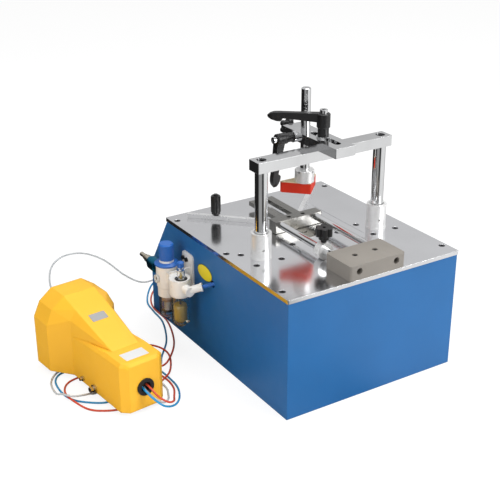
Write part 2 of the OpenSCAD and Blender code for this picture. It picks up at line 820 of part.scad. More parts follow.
function fence_spot(s, r) = [s * (tongue_w / 2 + r * cos(45)), fence_y + r * sin(45), table_h + fence_h];

module fence_left() {
    p = fence_spot(-1, fence_knob_at);
    color("silver") difference() {
        fence(-1);
        translate([p.x, p.y, p.z - 6]) cylinder(h = 6 + over, d = 6 + 2 * seam);
    }
}

module fence_right() { color("silver") fence(1); }

module fence_knob() {
    p = fence_spot(-1, fence_knob_at);
    color("black") translate([p.x, p.y, p.z + 4]) difference() {
        union() {
            cylinder(h = 40, d = 18);
            translate([0, 0, 5]) cylinder(h = 33, d = 20.5);
        }
        for (a = [0:60:300]) rotate(a) translate([11.2, 0, 6]) cylinder(h = 40, d = 4, $fn = 24);
    }
    color("silver") {
        translate([p.x, p.y, p.z - 6]) cylinder(h = 10, d = 6);
        translate([p.x, p.y, p.z + 44]) cylinder(h = 3, d = 9);
        translate([p.x, p.y, p.z + play]) difference() {
            cylinder(h = 4 - play, d = 11);
            translate([0, 0, -over]) cylinder(h = 6, d = 6);
        }
    }
}

module stop_collar() {
    color("lightgray") difference() {
        along_y([-guide_x, stop_y - stop_w / 2, guide_z], stop_d, stop_w);
        along_y([-guide_x, stop_y - stop_w, guide_z], guide_d + 2 * seam, stop_w * 2);
        translate([-guide_x, stop_y, guide_z]) cylinder(h = stop_d, d = 6 + 2 * seam);
    }
}

module stop_knob() {
    z = guide_z + stop_d / 2;
    color("silver") translate([-guide_x, stop_y, 0]) {
        translate([0, 0, guide_z + guide_d / 2 + play]) cylinder(h = z + 6 - guide_z - guide_d / 2, d = 6);
        translate([0, 0, z + play]) difference() {
            cylinder(h = 6 - play, d = 11);
            translate([0, 0, -over]) cylinder(h = 8, d = 6);
        }
    }
    color("darkslategray") translate([-guide_x, stop_y, z + 6]) {
        difference() {
            cylinder(h = 8, d = 20);
            translate([0, 0, -over]) cylinder(h = 1 + over + play, d = 6);
        }
        translate([0, 0, 8]) lobed_knob(34, 16, 6, 7);
    }
}

// ---------- air unit ----------

module air_bracket() {
    y = (reg_y + lub_y) / 2;
    color("gainsboro") difference() {
        union() {
            translate([-cab_x - 3, y - 12, air_z - 35]) cube([3, 44, 68]);
            hull() for (dy = [0, 24])
                along_x([-cab_x - 3, y - 2 + dy, air_z + 33], 20, 3);
            translate([air_x - 6, y - 2, air_z - 15]) cube([air_reach + 3, 4, 30]);
        }
        for (dy = [12, 26])
            along_x([-cab_x - 4, y + dy, air_z + 27], 5.5, 5);
        along_y([air_x, y - 3, air_z], 8, 6);
    }
}

module air_body(y, low, top) {
    translate([air_x, y, low]) {
        translate([0, 0, 5]) cylinder(h = top - low - 5, d = air_body_d);
        cylinder(h = 5, d1 = air_body_d - 4, d2 = air_body_d);
    }
}

module regulator_body() {
    color("linen") difference() {
        union() {
            air_body(reg_y, reg_low + 17, ring_z);
            translate([air_x, reg_y, reg_low]) cylinder(h = 20, d = 40);
            translate([air_x - 12, reg_y + 10, air_z - 12]) cube([24, 16, 24]);
            translate([air_x - 11, reg_y - air_pitch / 2 + 2, air_z - 11]) cube([22, 14, 22]);
            translate([air_x, reg_y, ring_z]) cylinder(h = knob_z - ring_z - play, d = 30);
        }
        along_y([air_x, reg_y + 14, air_z], 12, 20);
        translate([air_x, reg_y, knob_z - 16]) cylinder(h = 20, d = 12 + 2 * seam);
        bowl_seat(reg_y, reg_low);
        along_x([air_x - air_body_d, reg_y, gauge_z], 12, air_body_d / 2 + 6);
    }
}

module bowl_seat(y, low) {
    translate([air_x, y, low - over]) cylinder(h = 12 + over, d = bowl_d);
}

module regulator_ring() {
    color("royalblue") translate([air_x, reg_y, ring_z]) difference() {
        union() {
            cylinder(h = 2, d1 = 47, d2 = 51);
            translate([0, 0, 2]) cylinder(h = 2, d = 51);
            translate([0, 0, 4]) cylinder(h = 3, d1 = 51, d2 = 38);
        }
        translate([0, 0, -over]) cylinder(h = 7 + 2 * over, d = 30);
    }
}

module regulator_knob() {
    z = knob_z;
    color("royalblue") translate([air_x, reg_y, 0]) {
        difference() {
            translate([0, 0, z]) cylinder(h = regulator_h - z - 3, d = 31);
            for (a = [0:15:345]) rotate(a) translate([16.2, 0, z + 4]) cylinder(h = 40, d = 2, $fn = 16);
        }
        translate([0, 0, regulator_h - 3]) cylinder(h = 3, d1 = 31, d2 = 26);
        translate([0, 0, z - 15]) cylinder(h = 15, d = 12);
    }
}

// Bowl with a domed foot, hung in a body's seat
module bowl(y, low, h) {
    wall = 2.5;
    translate([air_x, y, low + 12 - h]) difference() {
        union() {
            translate([0, 0, 8]) cylinder(h = h - 8, d = bowl_d);
            cylinder(h = 8, d1 = bowl_d - 14, d2 = bowl_d);
            translate([0, 0, -5]) cylinder(h = 5, d = 9);
        }
        translate([0, 0, 8]) cylinder(h = h, d = bowl_d - 2 * wall);
        translate([0, 0, 2]) cylinder(h = 7, d = bowl_d - 2 * wall - 14);
    }
}

module filter_bowl() { color("lightcyan") bowl(reg_y, reg_low, 64); }
module lubricator_bowl() { color("khaki") bowl(lub_y, lub_low, 79); }

gauge_z = air_z - 6;

module gauge_case() {
    x = air_x - air_body_d / 2;
    color("white") difference() {
        union() {
            along_x([x - 5, reg_y, gauge_z], 17, 5);
            along_x([x - 1, reg_y, gauge_z], 12, 6);
        }
        along_x([x - 6, reg_y, gauge_z], 14, 3.5);
        along_x([x - 3, reg_y, gauge_z], 2 + 2 * seam, 4);
    }
}

module gauge_needle() {
    x = air_x - air_body_d / 2;
    color("black") {
        along_x([x - 3.8, reg_y, gauge_z], 2, 4);
        translate([x - 3.8, reg_y - 0.6, gauge_z - 2]) cube([0.8, 1.2, 7.5]);
    }
}

module lubricator_body() {
    color("linen") difference() {
        union() {
            air_body(lub_y, lub_low, lub_top);
            translate([air_x - 11, lub_y + air_body_d / 2 - 6, air_z - 11])
                cube([22, air_pitch / 2 + 4 - air_body_d / 2, 22]);
        }
        along_y([air_x, lub_y - air_body_d, elbow_z], 14, air_body_d / 2 + 12);
        bowl_seat(lub_y, lub_low);
    }
}

module sight_dome() {
    color("lightyellow") translate([air_x, dome_y, lub_top]) difference() {
        union() {
            cylinder(h = 22, d = 17);
            translate([0, 0, 22]) cylinder(h = 4, d1 = 17, d2 = 11);
        }
        translate([0, 0, -over]) cylinder(h = 20, d = 13);
        translate([0, 0, 15]) cylinder(h = 12, d = 5 + 2 * seam);
    }
}

module drip_knob() {
    color("royalblue") translate([air_x, dome_y, lub_top]) {
        translate([0, 0, 20]) cylinder(h = 7, d = 5);
        difference() {
            translate([0, 0, 26 + play]) cylinder(h = 10, d = 14);
            for (a = [0:30:330]) rotate(a) translate([7.6, 0, 29]) cylinder(h = 20, d = 2.2, $fn = 16);
        }
        translate([0, 0, 36 + play]) cylinder(h = 1.5, d1 = 12, d2 = 9);
    }
}

module inlet_valve() {
    y = reg_y + 26;
    color("teal") difference() {
        union() {
            along_y([air_x, y, air_z], 20, 12);
            along_y([air_x, y + 12, air_z], 30, 24);
            along_y([air_x, y + 36, air_z], 22, 10);
        }
        along_y([air_x, y - over, air_z], 8, 20);
        along_y([air_x, y + 36, air_z], 12, 20);
    }
}

module air_plug() {
    y = reg_y + 26 + 36;
    color("silver") difference() {
        union() {
            along_y([air_x, y, air_z], 12, 14);
            along_y([air_x, y + 14, air_z], 16, 12);
            along_y([air_x, y + 26, air_z], 9.5, 6);
            along_y([air_x, y + 32, air_z], 12, 5);
            along_y([air_x, y + 37, air_z], 9.5, 16);
        }
        along_y([air_x, y - over, air_z], 6, 60);
    }
}

// Children laid along the line from the elbow to the cabinet
module along_tube(at) {
    run = tube_in - [air_x, elbow_y, elbow_z];
    translate([air_x, elbow_y, elbow_z])
        rotate([0, acos(run.z / norm(run)), atan2(run.y, run.x)]) translate([0, 0, at]) children();
}

module elbow_fitting() {
    color("linen") difference() {
        union() {
            along_y([air_x, elbow_y - 9, elbow_z], 20, 18);
            along_y([air_x, elbow_y, elbow_z], 14, 24);
            along_tube(0) cylinder(h = 26, d = 16);
            along_tube(26) cylinder(h = 4, d = 18);
        }
        along_tube(10) cylinder(h = 30, d = 8);
    }
}

module feed_tube() {
    color("dodgerblue") along_tube(10) cylinder(h = 62, d = 8);
}

// ---------- pedal ----------

module at_pedal() {
    translate([pedal_at.x, pedal_at.y, 0]) rotate(pedal_turn) children();
}

// Upright slab of the hood at v, from the right half of its outline above the skirt: rows of [u, z]
module hood_slab(v, half) {
    foot = [half[0].x, skirt_z - over];
    translate([0, v, 0]) rotate([90, 0, 0]) linear_extrude(0.1, center = true)
        polygon(concat([foot], half, [for (i = [len(half) - 1:-1:0]) [-half[i].x, half[i].y]], [[-foot.x, foot.y]]));
}

// The hood's outer form, or its inside for a wall g
module hood_solid(g) {
    n = pedal_w / 2 - g;
    m = mouth_w / 2 - g;
    h = pedal_h - g;
    t = mouth_h - g;
    lip = g > 0 ? 1 : 0;
    mouth = [[m, t - 51], [m - 14.5, t - 21], [m - 43, t]];
    // narrow end with its chamfered edges, its top running a little down to the flare
    hull() {
        hood_slab(g + 0.05, [[n - corner, h - 10], [n - corner - 4, h - 6]]);
        hood_slab(g + corner, [[n, h - 7], [n - 6, h]]);
        hood_slab(ramp_v, [[n, h - 7], [n - 6, h]]);
        translate([0, g + 5, 0]) hood_slab(0, [[n - corner + 4, h - 5], [n - corner, h - 1]]);
    }
    hull() {
        hood_slab(ramp_v, [[n, h - 7], [n - 6, h]]);
        hood_slab(flare_v + 8, [[n, h - 16], [n - 6, h - 12]]);
    }
    // ramp up to the flare
    hull() {
        hood_slab(ramp_v, [[n - 17.5, h - 0.1]]);
        hood_slab(flare_v, [[n, h + 19], [n - 13, t - 13]]);
    }
    // flare and the band round the mouth
    hull() {
        hood_slab(flare_v, [[n, h + 19], [n - 13, t - 13]]);
        hood_slab(band_v, mouth);
    }
    hull() {
        hood_slab(band_v, mouth);
        hood_slab(pedal_l + lip, mouth);
    }
}

module pedal_cover() {
    color("gold") at_pedal() difference() {
        hood_solid(0);
        difference() {
            hood_solid(pedal_wall);
            translate([-100, -50, -over]) cube([200, 50, 200]);
        }
        translate([-100, -20, -over]) cube([200, 320, skirt_z + over]);
        along_y([grommet_u, -10, grommet_z], grommet_d - 8, 40);
        for (p = fittings)
            along_x([-pedal_w / 2 - over, p[0], p[1]], 6 + 2 * seam, pedal_wall + 2 * over);
    }
}

module pedal_grommet() {
    color("black") at_pedal() difference() {
        union() {
            along_y([grommet_u, -3, grommet_z], grommet_d, 3);
            along_y([grommet_u, 0, grommet_z], grommet_d - 8 - 2 * seam, 10);
        }
        along_y([grommet_u, -3, grommet_z], grommet_d - 14, 3 + hose_v);
    }
}

module pedal_base() {
    w = pedal_w / 2 - pedal_wall;
    m = mouth_w / 2 - pedal_wall - 2;
    color("dimgray") at_pedal() {
        translate([0, 0, base_z]) linear_extrude(base_plate_t) polygon([
            [-w + 1, 20], [w - 1, 20], [w - 1, flare_v], [m - 1, band_v + 4], [m - 1, pedal_l - 6],
            [1 - m, pedal_l - 6], [1 - m, band_v + 4], [1 - w, flare_v]
        ]);
        // feet
        for (p = [[-w + 9, 55], [w - 9, 55], [-m + 12, pedal_l - 18], [m - 12, pedal_l - 18]])
            translate([p.x, p.y, 0]) cylinder(h = base_z, d = 14, $fn = 24);
        // lugs that the hood is screwed to
        for (s = [-1, 1])
            translate([s > 0 ? w - 5 : -w, 61, base_z + base_plate_t]) cube([5, 20, 14]);
        // cheeks that carry the treadle's axle
        for (s = [-1, 1])
            difference() {
                translate([s * cheek_u - 2, treadle_v - 8, base_z + base_plate_t])
                    cube([4, 16, treadle_z + 8 - base_z - base_plate_t]);
                along_x([s * cheek_u - 4, treadle_v, treadle_z], axle_d, 8);
            }
    }
}

module treadle() {
    color("dimgray") at_pedal() {
        along_x([3 - cheek_u, treadle_v, treadle_z], 2 * axle_d, 2 * (cheek_u - 3));
        along_x([-cheek_u - 2, treadle_v, treadle_z], axle_d - 2 * seam, 2 * (cheek_u + 2));
        translate([0, treadle_v, treadle_z]) rotate([treadle_tilt, 0, 0]) {
            translate([-tread_bar_w / 2, 0, 0]) cube([tread_bar_w, treadle_len - tread_l + 6, 5]);
            translate([-tread_w / 2, treadle_len - tread_l, 0]) cube([tread_w, tread_l, 6]);
            for (i = [0:5])
                translate([4 - tread_w / 2, treadle_len - tread_l + 5 + i * 9, 6]) cube([tread_w - 8, 4, 2]);
            translate([0, valve_v - treadle_v, -13]) cylinder(h = 13, d = 7);
        }
    }
}

// Nickelled fittings on the hood's left side
module pedal_fittings() {
    color("silver") at_pedal() for (p = fittings) {
        along_x([-pedal_w / 2 - 4, p[0], p[1]], p[2], 4);
        along_x([-pedal_w / 2 - 4 - p[2] * 0.45, p[0], p[1]], p[2] * 0.68, p[2] * 0.45 + 1);
        along_x([-pedal_w / 2 - 1, p[0], p[1]], 6, pedal_wall + 1);
    }
}

// Foot valve under the treadle, its plunger's bore open upwards
module pedal_valve() {
    color("silver") at_pedal() difference() {
        translate([-17, valve_v - 20, 20]) cube([34, 40, 18]);
        translate([0, valve_v, 24]) cylinder(h = 15, d = 12);
    }
}

// ---------- push-in fittings ----------

module push_in(d) {
    difference() {
        union() {
            cylinder(h = 6, d = 9);
            translate([0, 0, 6]) cylinder(h = 5, d = 12, $fn = 24);
            translate([0, 0, 11]) cylinder(h = 7, d = 9);
        }
        translate([0, 0, 12]) cylinder(h = 7, d = d + 0.4);
    }
}

module push_in_fittings() {
    color("gainsboro") for (i = [0:2])
        translate([hoses_x + i * hoses_step, cab_back - 4, hoses_z]) rotate([-90, 0, 0]) push_in(hose_d);
}

// ---------- hoses ----------

function unit(v) = v / norm(v);

// Ring of points round a route's point, square to the direction t
function ring(p, t, d, sides) =
    let (side = unit(cross(t, [0, 0, 1])), up = cross(side, t))
    [for (k = [0:sides - 1]) p + d / 2 * (cos((k + 0.5) * 360 / sides) * side + sin((k + 0.5) * 360 / sides) * up)];

// Tube swept along q; its ends are square to the directions first and last
module tube(q, d, sides, first, last) {
    m = len(q);
    function tangent(i) = i == 0 ? first : i == m - 1 ? last : unit(unit(q[i + 1] - q[i]) + unit(q[i] - q[i - 1]));
    verts = [for (i = [0:m - 1]) each ring(q[i], tangent(i), d, sides)];
    walls = [
        for (i = [0:m - 2], k = [0:sides - 1])
            let (a = i * sides + k, b = i * sides + (k + 1) % sides)
            each [[a, b, a + sides], [b, b + sides, a + sides]]
    ];
    caps = [
        for (k = [1:sides - 2]) each [[0, k + 1, k], [(m - 1) * sides, (m - 1) * sides + k, (m - 1) * sides + k + 1]]
    ];
    polyhedron(verts, concat(walls, caps));
}

// A point given across, along and above the pedal
function pedal_point(u, v, z) = [
    pedal_at.x + u * cos(pedal_turn) - v * sin(pedal_turn),
    pedal_at.y + u * sin(pedal_turn) + v * cos(pedal_turn),
    z
];

// From the grommet's recess, along the route, into a fitting on the rear cover
module hose(du, z, route, index) {
    hx = hoses_x + index * hoses_step;
    tube(
        concat(
            [pedal_point(grommet_u + du, hose_v, z)], route,
            [[hx, cab_back + 20, hoses_z], [hx, cab_back + 8, hoses_z]]
        ),
        hose_d, 8, [sin(pedal_turn), -cos(pedal_turn), 0], [0, -1, 0]
    );
}

module hose_blue() { color("deepskyblue") hose(-4.5, 51, blue_route, 0); }
module hose_red() { color("red") hose(4.5, 55, red_route, 1); }
module hose_clear() { color("lightgray") hose(0, 48, clear_route, 2); }

// ---------- assembly ----------

cabinet();
rear_cover();
base_plate();
table_plate();
socket_screws();
collar_left();
collar_right();
clamp_cylinders();
driver_cylinder();
driver_head();
insert_plate();
nail_magazine();
front_block();
guide_rods();
cross_bar();
post_left();
post_right();
bar_screws();
arm();
top_lever();
top_lever_stud();
side_lever();
side_lever_stud();
rod_knob();
pad_rod();
pad_holder();
pad();
carriage();
fence_left();
fence_right();
fence_knob();
stop_collar();
stop_knob();
driver_blade();
nail_pusher();
air_bracket();
regulator_body();
regulator_ring();
regulator_knob();
filter_bowl();
gauge_case();
gauge_needle();
lubricator_body();
lubricator_bowl();
sight_dome();
drip_knob();
inlet_valve();
air_plug();
elbow_fitting();
feed_tube();
push_in_fittings();
pedal_cover();
pedal_base();
pedal_valve();
treadle();
pedal_grommet();
pedal_fittings();
hose_blue();
hose_red();
hose_clear();
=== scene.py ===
"""Picture frame underpinner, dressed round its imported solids.

Lengths are metres, unless a comment or a docstring says millimetres.
"""
import json

import bmesh
import bpy
import numpy as np
from mathutils import Euler, Matrix, Vector


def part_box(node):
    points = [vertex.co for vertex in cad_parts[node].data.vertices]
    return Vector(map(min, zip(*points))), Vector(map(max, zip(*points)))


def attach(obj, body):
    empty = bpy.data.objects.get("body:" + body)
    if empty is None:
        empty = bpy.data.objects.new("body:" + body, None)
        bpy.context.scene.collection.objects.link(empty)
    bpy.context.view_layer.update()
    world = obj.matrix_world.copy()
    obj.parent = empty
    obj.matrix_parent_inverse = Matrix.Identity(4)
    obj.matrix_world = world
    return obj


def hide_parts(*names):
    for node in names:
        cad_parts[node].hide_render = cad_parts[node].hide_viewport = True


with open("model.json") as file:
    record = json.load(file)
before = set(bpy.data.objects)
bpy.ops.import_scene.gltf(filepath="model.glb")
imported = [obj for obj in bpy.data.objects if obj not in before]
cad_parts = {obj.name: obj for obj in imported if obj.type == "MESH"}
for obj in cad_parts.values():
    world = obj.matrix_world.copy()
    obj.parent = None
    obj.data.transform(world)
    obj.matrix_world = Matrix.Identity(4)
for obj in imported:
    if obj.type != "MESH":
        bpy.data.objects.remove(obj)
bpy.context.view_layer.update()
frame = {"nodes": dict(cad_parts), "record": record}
MM = 0.001

# ---------- camera ----------

CAMERA_AT = (-1.11525, -1.55602, 1.07457)
YAW, PITCH, ROLL = np.radians([32.204, 24.283, -0.149])
FOCAL_PIXELS = 1033.9
PHOTO_PIXELS = 500
SENSOR = 36

camera_data = bpy.data.cameras.new("camera")
camera_data.sensor_width = SENSOR
camera_data.lens = SENSOR * FOCAL_PIXELS / PHOTO_PIXELS
camera_data.clip_start = 0.05
camera = bpy.data.objects.new("camera", camera_data)
bpy.context.scene.collection.objects.link(camera)
facing = Euler((np.pi / 2 - PITCH, 0, -YAW)).to_matrix() @ Matrix.Rotation(ROLL, 3, "Z")
camera.matrix_world = Matrix.Translation(CAMERA_AT) @ facing.to_4x4()
bpy.context.scene.camera = camera

# ---------- mesh making ----------


def mesh_piece(name, points, faces, smooth=True):
    """Object at the origin whose mesh has these points and faces."""
    mesh = bpy.data.meshes.new(name)
    mesh.from_pydata(np.asarray(points, float).tolist(), [], faces)
    mesh.validate()
    mesh.polygons.foreach_set("use_smooth", np.full(len(mesh.polygons), smooth))
    mesh.update()
    piece = bpy.data.objects.new(name, mesh)
    bpy.context.scene.collection.objects.link(piece)
    return piece


def outward(piece):
    """Turn all faces of a piece outwards."""
    work = bmesh.new()
    work.from_mesh(piece.data)
    bmesh.ops.recalc_face_normals(work, faces=work.faces)
    work.to_mesh(piece.data)
    work.free()


def ring_faces(count, around):
    """Quads between neighbouring closed rings, where point k of ring i has number i * around + k.

    A quad joins point k and the one after it to the same two points of the next ring; the first
    point comes after the last one.
    """
    i = np.arange(count - 1)[:, None]
    k = np.arange(around)[None, :]
    after = (k + 1) % around
    corners = (i * around + k, (i + 1) * around + k, (i + 1) * around + after, i * around + after)
    return np.stack(np.broadcast_arrays(*corners), -1).reshape(-1, 4).tolist()


def loft(name, rings, caps=True, smooth=True):
    """Skin over closed rings of equal size, an array (ring, point, 3); a cap is one face on an end ring."""
    rings = np.asarray(rings, float)
    count, around = rings.shape[:2]
    faces = ring_faces(count, around)
    if caps:
        first = np.arange(around)
        last = (count - 1) * around + first
        faces += [first.tolist(), last[::-1].tolist()]
    piece = mesh_piece(name, rings.reshape(-1, 3), faces, smooth)
    outward(piece)
    return piece


def frame_along(direction):
    """Three unit vectors square to each other: side, up and the direction itself.

    The side is the direction crossed with Z, or with X where the direction is nearly Z; up is the
    side crossed with the direction.
    """
    ahead = np.asarray(direction, float) / np.linalg.norm(direction)
    helper = np.array([0, 0, 1.0]) if abs(ahead[2]) < 0.9 else np.array([1.0, 0, 0])
    side = np.cross(ahead, helper)
    side /= np.linalg.norm(side)
    return side, np.cross(side, ahead), ahead


def turned(name, profile, at, axis=(0, 0, 1), sides=48, caps=True):
    """Body of revolution: profile is rows of (radius, height along the axis), in millimetres.

    Each ring is the place, plus the height along the axis, plus the radius times the sum of the
    side times the angle's cosine and the up times its sine.
    """
    side, up, ahead = frame_along(axis)
    profile = np.asarray(profile, float) * MM
    angle = np.linspace(0, 2 * np.pi, sides, endpoint=False)
    ring = np.cos(angle)[:, None] * side + np.sin(angle)[:, None] * up
    rings = np.asarray(at) + profile[:, 0, None, None] * ring[None] + profile[:, 1, None, None] * ahead
    return loft(name, rings, caps=caps)


def spline(points, steps):
    """Catmull-Rom curve through points, with the given number of steps from one to the next.

    From b to c, with a before them and d after them, the curve is half the sum of 2b, (c - a) t,
    (2a - 5b + 4c - d) t squared and (3b - a - 3c + d) t cubed, as t goes from 0 to 1. Each end gets
    one more point, its neighbour mirrored in it.
    """
    p = np.asarray(points, float)
    p = np.vstack([2 * p[0] - p[1], p, 2 * p[-1] - p[-2]])
    t = np.linspace(0, 1, steps, endpoint=False)[None, :, None]
    a, b, c, d = (p[i : len(p) - 3 + i, None, :] for i in range(4))
    straight = 2 * b + (c - a) * t
    bent = (2 * a - 5 * b + 4 * c - d) * t**2 + (3 * b - a - 3 * c + d) * t**3
    return np.vstack([(0.5 * (straight + bent)).reshape(-1, 3), p[-2]])


def swept(name, path, radius, sides=12):
    """Round tube along a path, with rings square to the path and twisted as little as possible.

    A ring's side is the last ring's side less its share along the path, made a unit again; its up
    is the path's direction crossed with the side. The ring is the path's point plus the radius
    times the sum of the side times the angle's cosine and the up times its sine.
    """
    path = np.asarray(path, float)
    ahead = np.gradient(path, axis=0)
    ahead /= np.linalg.norm(ahead, axis=1)[:, None]
    side = np.empty_like(path)
    side[0] = frame_along(ahead[0])[0]
    for k in range(1, len(path)):
        across = side[k - 1] - ahead[k] * np.dot(side[k - 1], ahead[k])
        side[k] = across / np.linalg.norm(across)
    up = np.cross(ahead, side)
    angle = np.linspace(0, 2 * np.pi, sides, endpoint=False)
    ring = np.cos(angle)[None, :, None] * side[:, None] + np.sin(angle)[None, :, None] * up[:, None]
    return loft(name, path[:, None] + radius * ring)


# ---------- hoses ----------

HOSE = 4 * MM

# the middle of the pedal's narrow end, in millimetres, and the pedal's turn from the cabinet's side
PEDAL_AT = np.array([-402.9, -57.4])
PEDAL_TURN = np.radians(6)


def on_pedal(u, v, z):
    """Point across, along and above the pedal, in millimetres, as metres in the frame.

    The point (u, v) is turned about the middle of the pedal's narrow end by the pedal's turn: x is
    u times its cosine less v times its sine, y is u times its sine plus v times its cosine.
    """
    u, v, z = np.broadcast_arrays(*(np.asarray(value, float) for value in (u, v, z)))
    x = PEDAL_AT[0] + u * np.cos(PEDAL_TURN) - v * np.sin(PEDAL_TURN)
    y = PEDAL_AT[1] + u * np.sin(PEDAL_TURN) + v * np.cos(PEDAL_TURN)
    return np.stack([x, y, z], -1) * MM


# All in millimetres. Each hose: its place across the grommet and above the bench, X of its fitting
# on the rear cover, and the points between the two.
GROMMET_U, GROMMET_V = 1, 6
FITTING_MOUTH_Y, FITTING_END_Y, FITTING_Z = 325.5, 313.5, 60
ROUTES = {
    "hose_blue": ((-4.5, 51), -150, [
        (-404, -67, 46), (-398, -83, 38), (-381, -92, 22), (-355, -81, 9), (-331, -56, 3),
        (-315, -20, 2.2), (-312, 20, 2.2), (-317, 66, 2.2), (-345, 98, 2.2), (-395, 122, 2.2),
        (-440, 140, 2.2), (-482, 152, 2.2), (-506, 132, 2.2), (-513, 92, 2.2), (-508, 56, 2.2),
        (-490, 30, 2.2), (-454, 6, 2.2), (-420, 18, 2.2), (-378, 26, 2.2), (-350, 34, 6.7),
        (-308, 66, 6.7), (-286, 102, 2.2), (-245, 158, 2.2), (-214, 233, 2.2), (-207, 290, 2.2),
        (-200, 334, 6), (-178, 358, 28), (-154, 350, 50),
    ]),
    "hose_red": ((4.5, 55), -128, [
        (-395, -69, 51), (-389, -86, 41), (-372, -91, 27), (-354, -77, 16), (-339, -50, 5),
        (-322, -16, 2.2), (-319, 22, 2.2), (-330, 56, 2.2), (-372, 84, 2.2), (-430, 112, 2.2),
        (-466, 118, 2.2), (-494, 106, 2.2), (-511, 70, 7.2), (-508, 36, 6.7), (-494, 4, 2.2),
        (-474, -16, 2.2), (-440, -30, 2.2), (-390, -28, 2.2), (-355, -10, 2.2), (-344, 4, 6.7),
        (-304, 34, 6.7), (-276, 84, 6.7), (-272, 122, 6.7), (-288, 152, 6.7), (-318, 158, 6.7),
        (-338, 130, 6.7), (-334, 86, 11.2), (-310, 56, 11.2), (-277, 80, 11.2), (-236, 141, 6.7),
        (-207, 225, 6.7), (-203, 300, 7.5), (-186, 338, 18), (-150, 356, 36), (-130, 348, 52),
    ]),
    "hose_clear": ((0, 48), -106, [
        (-399, -67, 41), (-391, -77, 32), (-375, -76, 19), (-356, -58, 10), (-343, -34, 3),
        (-334, -8, 2.2), (-338, 28, 2.2), (-364, 58, 2.2), (-381, 75, 3.4), (-391, 89, 7),
        (-406, 112, 7), (-430, 142, 7), (-450, 156, 4), (-468, 162, 2.2), (-494, 157, 2.2),
        (-517, 128, 2.2), (-525, 84, 5), (-518, 66, 10), (-506, 46, 12), (-488, 40, 11.5),
        (-472, 44, 7), (-460, 47, 2.2), (-446, 51, 2.2), (-428, 62, 6), (-412, 84, 12),
        (-395, 118, 11.5), (-389, 134, 3.4), (-382, 144, 2.2), (-371, 154, 2.2), (-352, 190, 2.2),
        (-346, 250, 2.2), (-362, 340, 2.2), (-365, 450, 2.2), (-350, 540, 2.2), (-310, 630, 2.2),
        (-260, 674, 2.2), (-212, 664, 2.2), (-185, 600, 2.2), (-180, 500, 2.2), (-172, 400, 20),
        (-120, 352, 56),
    ]),
}
ROUTE_STEPS = 8
hoses = {}
for node, ((u, z), end_x, route) in ROUTES.items():
    start = on_pedal(GROMMET_U + u, GROMMET_V, z)
    end = np.array([[end_x, FITTING_MOUTH_Y, FITTING_Z], [end_x, FITTING_END_Y, FITTING_Z]]) * MM
    path = spline(np.vstack([start, np.array(route) * MM, end]), ROUTE_STEPS)
    path[:, 2] = np.maximum(path[:, 2], HOSE / 2)
    hose = swept(node + "_tube", path, HOSE / 2)
    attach(hose, "machine")
    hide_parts(node)
    hoses[node] = hose

# ---------- small pieces ----------

made = {}


def keep(piece, finish):
    """Let a new piece ride on the machine and note its finish."""
    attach(piece, "machine")
    made[piece.name] = finish


def outline(width, depth, radius, steps=5):
    """Rim of a rounded rectangle about the origin, counterclockwise, as rows of (x, y).

    One quarter circle is turned by none, one, two and three quarter turns, and each is moved to
    its corner, which lies half the size less the radius from the middle.
    """
    angle = np.linspace(0, np.pi / 2, steps)
    quarter = np.stack([np.cos(angle), np.sin(angle)], 1) * radius
    rim = []
    for k, corner in enumerate([(1, 1), (-1, 1), (-1, -1), (1, -1)]):
        cosine, sine = np.cos(k * np.pi / 2), np.sin(k * np.pi / 2)
        middle = np.array(corner) * [width / 2 - radius, depth / 2 - radius]
        rim.append(quarter @ np.array([[cosine, sine], [-sine, cosine]]) + middle)
    return np.vstack(rim)


# how far a plate's foot lies below its surface, in millimetres
SUNK = 0.3


def tile(name, at, across, along, flat, thick, edge=0.25):
    """Thin plate with a chamfered rim: flat is its outline in millimetres, as are thick and edge.

    Each of its three rings is the place, plus the outline laid on the across and along directions,
    plus a height along their cross product: below the surface, at the chamfer's foot, and at the
    top, where the outline is drawn in by the chamfer's width.
    """
    across, along = (np.asarray(way, float) / np.linalg.norm(way) for way in (across, along))
    up = np.cross(across, along)
    rings = []
    for height, drawn_in in ((-SUNK, 0), (thick - edge, 0), (thick, edge)):
        rim = flat * (1 - drawn_in / np.abs(flat).max(0)) * MM
        rings.append(np.asarray(at) + rim[:, :1] * across + rim[:, 1:] * along + up * height * MM)
    return loft(name, rings, smooth=False)


# bare oval disc on the cabinet's left side: half its width and height with and without the rim
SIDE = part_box("cabinet")[0][0]
DISC_AT = (SIDE, 0.0695, 0.1835)
RIM_HALF, FACE_HALF = (29, 17), (27.4, 15.6)
FORWARD, UPWARD = (0, -1, 0), (0, 0, 1)
round_angle = np.linspace(0, 2 * np.pi, 48, endpoint=False)
oval = np.stack([np.cos(round_angle), np.sin(round_angle)], 1)
keep(tile("side_disc_rim", DISC_AT, FORWARD, UPWARD, oval * RIM_HALF, thick=0.5), "disc_rim")
keep(tile("side_disc", DISC_AT, FORWARD, UPWARD, oval * FACE_HALF, thick=0.8), "disc_yellow")

# bare plates on the hood, one on the ramp and one on the narrow end's top; places on the pedal
# and sizes in millimetres
HOOD_TOP = 110
RAMP_FOOT, RAMP_HEAD = (0, 62, HOOD_TOP), (0, 186, 148)
RAMP_PLATE_AT, TOP_LABEL_AT = (-2.5, 153.5, 138.04), (-2, 29.4, HOOD_TOP)
hood_across = on_pedal(1, 0, 0) - on_pedal(0, 0, 0)
hood_along = on_pedal(0, 1, 0) - on_pedal(0, 0, 0)
up_ramp = on_pedal(*RAMP_HEAD) - on_pedal(*RAMP_FOOT)
plate = outline(width=34, depth=20.5, radius=1)
label = outline(width=49, depth=27.5, radius=1.5)
keep(tile("ramp_plate", on_pedal(*RAMP_PLATE_AT), hood_across, up_ramp, plate, thick=0.6), "tag_silver")
keep(tile("top_label", on_pedal(*TOP_LABEL_AT), hood_across, hood_along, label, thick=0.4), "tag_white")

